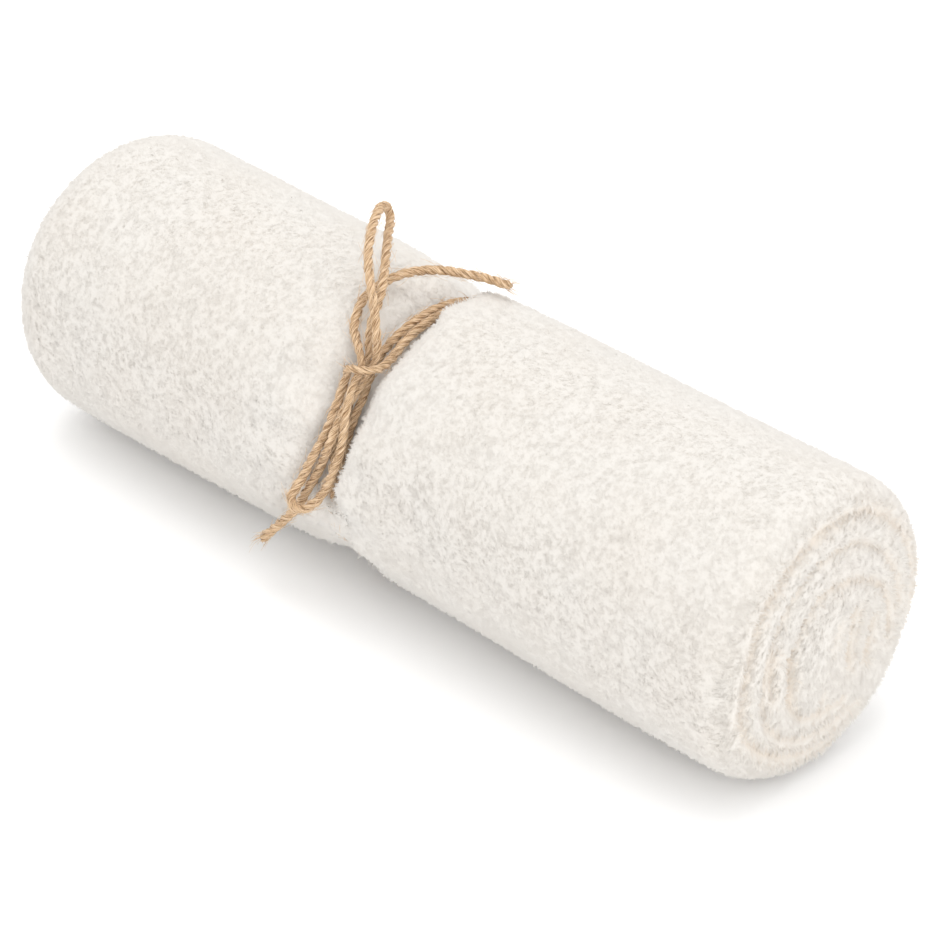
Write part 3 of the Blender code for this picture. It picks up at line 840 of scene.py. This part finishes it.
def cloth_surface():
    """The cloth under its pile: rings of points from the back end to the front, and each end's middle."""
    angle, inset, _ = ring_shape()
    first = -ROLL_LENGTH / 2 + PILE_HEIGHT + BACK_RIM_RADIUS
    last = ROLL_LENGTH / 2 - PILE_HEIGHT - FRONT_RIM_RADIUS
    pinch_start, pinch_stop = (PINCH_X + PINCH_SHAPE[row][0] * MM for row in (0, -1))
    rings = list(reversed(end_rings(-1, BACK_RIM_RADIUS, back_creases())))
    rings += [side_points(x, angle, inset, 0.0, 0.0) for x in even_stations(first, pinch_start)]
    rings += pinch_rings(angle, inset)
    rings += [side_points(x, angle, inset, 0.0, 0.0) for x in even_stations(pinch_stop, last)]
    rings += end_rings(1, FRONT_RIM_RADIUS, FRONT_CREASES)
    rings = np.array(rings)
    return rings[1:-1], rings[0].mean(axis=0), rings[-1].mean(axis=0)


def add_cloth(material):
    """The cloth as one closed mesh, and the points, triangles and normals that the pile grows on."""
    rings, back_middle, front_middle = cloth_surface()
    count, around = rings.shape[:2]
    points = np.concatenate((rings.reshape(-1, 3), [back_middle, front_middle]))
    quads = tube_faces(count, around)
    triangles = np.concatenate((quads[:, [0, 1, 2]], quads[:, [0, 2, 3]]))
    here = np.arange(around)
    after = (here + 1) % around
    back = np.stack((after, here, np.full(around, count * around)), axis=-1)
    last = (count - 1) * around
    front = np.stack((last + here, last + after, np.full(around, count * around + 1)), axis=-1)
    triangles = np.concatenate((triangles, back, front))
    centre = points.mean(axis=0)
    corner = points[triangles]
    across = np.cross(corner[:, 1] - corner[:, 0], corner[:, 2] - corner[:, 0])
    if np.sum(across * (corner.mean(axis=1) - centre)) < 0.0:
        triangles = triangles[:, ::-1]
        across = -across
    normals = np.zeros_like(points)
    for index in range(3):
        np.add.at(normals, triangles[:, index], across)
    mesh = new_mesh("plush_cloth", points, triangles)
    mark_painted_shading(mesh, points, unit(normals), 1)
    piece = add_piece("plush_cloth", mesh, material)
    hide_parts("rolled_towel")
    return points, triangles, unit(normals)


def sample_surface(points, triangles, normals, count, rng):
    """Points spread evenly over the cloth and their normals: fewer facing down, more on the front end."""
    corner = points[triangles]
    across = np.cross(corner[:, 1] - corner[:, 0], corner[:, 2] - corner[:, 0])
    area = np.linalg.norm(across, axis=1) / 2
    facing = unit(across)
    weight = area * np.where(facing[:, 2] < DOWNWARD, HIDDEN_SHARE, 1.0)
    weight *= np.where(facing[:, 0] > ENDWARD, END_SHARE, 1.0)
    total = np.cumsum(weight)
    chosen = np.searchsorted(total, (np.arange(count) + rng.random(count)) / count * total[-1])
    chosen = np.minimum(chosen, len(triangles) - 1)
    a, b = rng.random((2, count))
    over = a + b > 1.0
    a, b = np.where(over, 1.0 - a, a), np.where(over, 1.0 - b, b)
    weights = np.stack((1.0 - a - b, a, b), axis=-1)[..., None]
    return (corner[chosen] * weights).sum(axis=1), unit((normals[triangles[chosen]] * weights).sum(axis=1))


def lean_directions(places, normals, rng):
    """The way that the pile leans at these places, and how far each place counts as part of an end."""
    swirl = np.stack([wave_noise(places, SWIRL_SIZE, SEED + 30 + axis) for axis in range(3)], axis=-1)
    wisp = np.stack([wave_noise(places, WISP_SIZE, SEED + 40 + axis) for axis in range(3)], axis=-1)
    radial = places * (0.0, 1.0, 1.0) - (0.0, 0.0, AXIS_HEIGHT)
    on_end = blend((np.abs(normals[:, 0]) - END_START) / END_RISE)[:, None]
    down = np.array((0.0, 0.0, -1.0))
    rounding = np.cross((1.0, 0.0, 0.0), unit(radial)) * (1.0 - on_end)
    outward = unit(radial) + END_DROP * down
    way = SWIRL_SHARE * swirl + WISP_SHARE * wisp + END_LEAN * on_end * outward + SIDE_LEAN * rounding
    way += rng.normal(scale=SCATTER, size=way.shape)
    facing = normals @ np.array(NAP)
    edge_on = blend((NAP_REACH + facing) / NAP_RISE) * blend((NAP_REACH - facing) / NAP_FALL)
    way += np.array(NAP) * (NAP_SHARE * edge_on)[:, None]
    offset = (places[:, 0] - PINCH_X) / MM
    beside = blend((offset - BESIDE_START) / BESIDE_RISE)
    beside = beside * (1.0 - blend((offset - BESIDE_STOP) / BESIDE_FALL)) * (1.0 - on_end[:, 0])
    way += np.array((-1.0, 0.0, 0.0)) * (TWINE_LEAN * beside)[:, None]
    way -= normals * np.sum(way * normals, axis=1, keepdims=True)
    return unit(way), on_end[:, 0]


def near_twine(places, centres):
    """How far each of these places is from the twine's centreline, for those within reach of the pinch."""
    nearest = np.full(len(places), np.inf)
    candidates = np.nonzero(np.abs(places[:, 0] - PINCH_X) < PINCH_REACH)[0]
    line = centres[::2].astype(np.float32)
    for start in range(0, len(candidates), 4000):
        chunk = candidates[start : start + 4000]
        apart = places[chunk, None].astype(np.float32) - line[None]
        nearest[chunk] = np.sqrt(np.einsum("ijk,ijk->ij", apart, apart).min(axis=1))
    return nearest


def strands(points, triangles, normals, centres):
    """Each strand of the pile: its root, tip, normal and width."""
    rng = np.random.default_rng(SEED)
    places, normal = sample_surface(points, triangles, normals, CLUMPS, rng)
    way, on_end = lean_directions(places, normal, rng)
    wisp = LEAN_WISP * wave_noise(places, WISP_SIZE, SEED + 50)
    lean = LEAN + wisp + rng.normal(scale=LEAN_SPREAD, size=CLUMPS)
    fuzz = rng.random(CLUMPS) < FUZZ_SHARE
    lean = np.where(fuzz, FUZZ_LEAN, lean)
    lean = np.where(normal[:, 2] < DOWNWARD, REST_LEAN, lean)
    length = STRAND_LENGTH + (END_STRAND_LENGTH - STRAND_LENGTH) * on_end
    wisp = LENGTH_WISP * wave_noise(places, WISP_SIZE * 2.0, SEED + 51)
    length *= 1.0 + wisp + rng.normal(scale=LENGTH_SPREAD, size=CLUMPS)
    direction = normal * np.cos(lean)[:, None] + way * np.sin(lean)[:, None]
    clump_tip = places + direction * length[:, None]
    beside = np.cross(normal, way)
    each = np.repeat(np.arange(CLUMPS), STRANDS_PER_CLUMP)
    spread = CLUMP_RADIUS * np.sqrt(rng.random(len(each)))
    turn = rng.uniform(0.0, math.tau, len(each))
    root = places[each] + way[each] * (spread * np.cos(turn))[:, None]
    root += beside[each] * (spread * np.sin(turn))[:, None]
    own = direction[each] + rng.normal(scale=STRAND_SPREAD, size=(len(each), 3))
    reach = length[each] * rng.uniform(*STRAND_LENGTHS, len(each))
    tip = root + unit(own) * reach[:, None]
    tip += (clump_tip[each] - tip) * CLUMPING
    root = root - normal[each] * ROOT_DEPTH
    root[:, 2] = np.maximum(root[:, 2], STRAND_WIDTH * ROOT_HEIGHT)
    tip[:, 2] = np.maximum(tip[:, 2], 0.0)
    clear = near_twine(tip, centres) > TWINE_CLEARANCE
    clear &= near_twine((root + tip) / 2, centres) > TWINE_CLEARANCE
    width = STRAND_WIDTH * rng.uniform(*STRAND_WIDTHS, len(each)) * np.where(fuzz[each], FUZZ_WIDTH, 1.0)
    return root[clear], tip[clear], normal[each][clear], width[clear]


def surface_map(places, normals):
    """Where a place lies on a map of the whole roll: its side unrolled, with the two ends above it."""
    angle = np.arctan2(places[:, 2] - AXIS_HEIGHT, -places[:, 1]) / math.tau % 1.0
    along = places[:, 0] / ROLL_LENGTH * MAP_LENGTH + 0.5
    side = np.stack((along, MAP_SIDE_START + MAP_SIDE_HEIGHT * angle), axis=-1)
    flat = places[:, 1:] - (0.0, AXIS_HEIGHT)
    middle = np.where(places[:, :1] > 0.0, MAP_FRONT_MIDDLE, MAP_BACK_MIDDLE)
    on_end = (np.abs(normals[:, 0]) > MAP_ENDWARD)[:, None]
    return np.where(on_end, middle + flat / ROLL_RADIUS * MAP_END_RADIUS, side)


def strand_normals(corners, sides, surface):
    """The normal that each face of the strands is shaded with: the two on top take it from the cloth below,
    so that the pile is lit as softly as the cloth, and the underside keeps its own."""
    corner = corners[:, sides]
    own = unit(np.cross(corner[:, :, 1] - corner[:, :, 0], corner[:, :, 2] - corner[:, :, 0]))
    share = np.array((TOP_SOFTNESS, TOP_SOFTNESS, 0.0))[None, :, None]
    return unit(own * (1.0 - share) + surface[:, None] * share)


def add_pile(points, triangles, normals, centres, material):
    """The pile as a few joined meshes of strands, each a slim pyramid rooted in the cloth."""
    root, tip, normal, width = strands(points, triangles, normals, centres)
    direction = unit(tip - root)
    across = unit(np.cross(direction, normal))
    above = np.cross(across, direction)
    corner_turns = (math.radians(90.0), math.radians(210.0), math.radians(330.0))
    corners = []
    for turn in corner_turns:
        outward = above * (STRAND_FLATNESS * math.sin(turn)) + across * math.cos(turn)
        corners.append(root + outward * (width / 2)[:, None])
    corners.append(tip)
    corners = np.stack(corners, axis=1)
    corners[..., 2] = np.maximum(corners[..., 2], 0.0)
    place = surface_map(root, normal)
    pattern = np.array(((0.0, 0.0), (1.0, 0.0), (0.5, 1.0))) * MAP_SPOT
    sides = np.array(((1, 0, 3), (0, 2, 3), (2, 1, 3)))
    for index, part in enumerate(np.array_split(np.argsort(root[:, 0], kind="stable"), PILE_PIECES)):
        faces = sides[None] + (np.arange(len(part)) * 4)[:, None, None]
        name = f"plush_pile_{index + 1}"
        mesh = new_mesh(name, corners[part].reshape(-1, 3), faces.reshape(-1, 3))
        shading = strand_normals(corners[part], sides, normal[part])
        mesh.normals_split_custom_set(np.repeat(shading.reshape(-1, 3), 3, axis=0))
        spots = place[part][:, None, None] + pattern[None, None] + np.zeros((1, 3, 1, 1))
        set_map(mesh, "OFBake", spots)
        mark_painted_shading(mesh, root[part], normal[part], 4)
        piece = add_piece(name, mesh, material)
        piece.visible_shadow = False


def mark_painted_shading(mesh, places, normals, corners):
    """Marks how deep each place is in a crease of the front end and in the pinch, where the material paints
    warm shade into the creases and light into the pinch. Each place stands for this many of the mesh's
    points."""
    on_front = (normals[:, 0] > 0.5) * (places[:, 0] > 0.0)
    depth = crease_depth(places[:, 1], places[:, 2], FRONT_CREASES) * on_front
    offsets, depths = list(zip(*PINCH_SHAPE))[:2]
    column = np.interp((places[:, 0] - PINCH_X) / MM, offsets, depths)
    radius = np.hypot(places[:, 1], places[:, 2] - AXIS_HEIGHT)
    pinched = np.clip((ROLL_RADIUS - PILE_HEIGHT - radius) / PINCH_DEPTH, 0.0, column)
    for name, marks in (("crease", depth / CREASE_SHADE_DEPTH), ("pinch", pinched)):
        values = np.repeat(marks, corners).astype(np.float32)
        mesh.attributes.new(name, "FLOAT", "POINT").data.foreach_set("value", values)


def new_material(name, colour, roughness):
    """A material, its nodes and its shader, which has this colour until something is linked to it."""
    material = bpy.data.materials.new(name)
    material.use_nodes = True
    shader = material.node_tree.nodes["Principled BSDF"]
    shader.inputs["Base Color"].default_value = (*colour, 1.0)
    shader.inputs["Roughness"].default_value = roughness
    return material, material.node_tree, shader


def noise_node(tree, vector, scale, detail):
    node = tree.nodes.new("ShaderNodeTexNoise")
    node.inputs["Scale"].default_value = scale
    node.inputs["Detail"].default_value = detail
    tree.links.new(vector, node.inputs["Vector"])
    return node.outputs["Fac"]


def ramp_node(tree, value, stops):
    """A colour for each value, from stops of (place, colour)."""
    node = tree.nodes.new("ShaderNodeValToRGB")
    elements = node.color_ramp.elements
    elements[0].position, elements[-1].position = stops[0][0], stops[-1][0]
    elements[0].color, elements[-1].color = (*stops[0][1], 1.0), (*stops[-1][1], 1.0)
    for place, colour in stops[1:-1]:
        elements.new(place).color = (*colour, 1.0)
    tree.links.new(value, node.inputs["Fac"])
    return node.outputs["Color"]


def bump_node(tree, height, distance, strength):
    node = tree.nodes.new("ShaderNodeBump")
    node.inputs["Distance"].default_value = distance
    node.inputs["Strength"].default_value = strength
    tree.links.new(height, node.inputs["Height"])
    return node.outputs["Normal"]


def plush_material(name, with_bump):
    """Ivory cotton: soft patches of warmer and paler cloth, painted warm shade in the creases, painted light
    that lifts the shade in the pinch, and a soft sheen.
    """
    material, tree, shader = new_material(name, CLOTH_LIGHT, 0.95)
    place = tree.nodes.new("ShaderNodeTexCoord").outputs["Object"]
    patches = noise_node(tree, place, scale=CLOTH_PATCHES, detail=3.0)
    colour = ramp_node(tree, patches, ((0.35, CLOTH_WARM), (0.65, CLOTH_LIGHT)))
    # The warm shade painted into the creases and the light painted into the pinch, each mixed in by its mark
    for name, painted_colour in (("crease", CLOTH_CREASE_SHADE), ("pinch", CLOTH_PINCH_LIGHT)):
        mark = tree.nodes.new("ShaderNodeAttribute")
        mark.attribute_name = name
        tint = tree.nodes.new("ShaderNodeMixRGB")
        tree.links.new(mark.outputs["Fac"], tint.inputs["Fac"])
        tree.links.new(colour, tint.inputs["Color1"])
        tint.inputs["Color2"].default_value = (*painted_colour, 1.0)
        colour = tint.outputs["Color"]
    tree.links.new(colour, shader.inputs["Base Color"])
    shader.inputs["Specular IOR Level"].default_value = 0.15
    shader.inputs["Sheen Weight"].default_value = 0.25
    shader.inputs["Sheen Roughness"].default_value = 0.6
    if with_bump:
        grain = noise_node(tree, place, scale=CLOTH_GRAIN, detail=2.0)
        tree.links.new(bump_node(tree, grain, distance=0.0006, strength=0.6), shader.inputs["Normal"])
    return material


def jute_material():
    """Jute: pale and dark fibres along each ply, and patches of lighter and darker tan."""
    material, tree, shader = new_material("jute", TWINE_TAN, 0.85)
    strand = tree.nodes.new("ShaderNodeUVMap")
    strand.uv_map = "strand"
    stretch = tree.nodes.new("ShaderNodeMapping")
    stretch.inputs["Scale"].default_value = JUTE_STREAKS
    stretch.inputs["Rotation"].default_value = (0.0, 0.0, JUTE_SLANT)
    tree.links.new(strand.outputs["UV"], stretch.inputs["Vector"])
    fibres = noise_node(tree, stretch.outputs["Vector"], scale=1.0, detail=4.0)
    stops = ((0.36, TWINE_DARK), (0.48, TWINE_TAN), (0.62, TWINE_PALE))
    tree.links.new(ramp_node(tree, fibres, stops), shader.inputs["Base Color"])
    tree.links.new(bump_node(tree, fibres, distance=0.0004, strength=0.8), shader.inputs["Normal"])
    shader.inputs["Specular IOR Level"].default_value = 0.3
    shader.inputs["Sheen Weight"].default_value = 0.15
    return material


def fibre_material():
    """Single jute fibres: tan, some paler."""
    material, tree, shader = new_material("jute_fibre", TWINE_PALE, 0.7)
    place = tree.nodes.new("ShaderNodeTexCoord").outputs["Object"]
    shades = noise_node(tree, place, scale=FIBRE_SHADES, detail=1.0)
    colour = ramp_node(tree, shades, ((0.4, TWINE_TAN), (0.6, TWINE_PALE)))
    tree.links.new(colour, shader.inputs["Base Color"])
    return material


def add_floor():
    material, _, shader = new_material("floor", FLOOR_COLOUR, 0.9)
    shader.inputs["Specular IOR Level"].default_value = 0.0
    corners = np.array(((-1, -1, 0), (1, -1, 0), (1, 1, 0), (-1, 1, 0))) * FLOOR_SIZE / 2
    floor = bpy.data.objects.new("floor", new_mesh("floor", corners, np.array(((0, 1, 2, 3),))))
    floor.data.materials.append(material)
    bpy.context.scene.collection.objects.link(floor)


def add_light(row):
    data = bpy.data.lights.new(row["name"], "AREA")
    data.shape = "DISK"
    data.size = row["size"]
    data.energy = row["energy"]
    data.color = row["colour"]
    light = bpy.data.objects.new(row["name"], data)
    light.location = row["place"]
    aim = Vector((0.0, 0.0, AXIS_HEIGHT)) - Vector(row["place"])
    light.rotation_euler = aim.to_track_quat("-Z", "Y").to_euler()
    bpy.context.scene.collection.objects.link(light)


def add_surroundings():
    """Soft studio light: an even white room, and broad lights over the roll."""
    world = bpy.data.worlds.new("studio")
    world.use_nodes = True
    world.node_tree.nodes["Background"].inputs["Color"].default_value = (*WORLD_COLOUR, 1.0)
    world.node_tree.nodes["Background"].inputs["Strength"].default_value = WORLD_STRENGTH
    bpy.context.scene.world = world
    bpy.context.scene.view_settings.view_transform = "Standard"
    for row in LIGHTS:
        add_light(row)


def main():
    add_camera()
    twine, centres, widths, length = add_twine(jute_material())
    fibres = add_stray_fibres(centres, widths, fibre_material())
    points, triangles, normals = add_cloth(plush_material("plush_ground", True))
    add_pile(points, triangles, normals, centres, plush_material("plush_pile", False))
    add_floor()
    add_surroundings()


main()
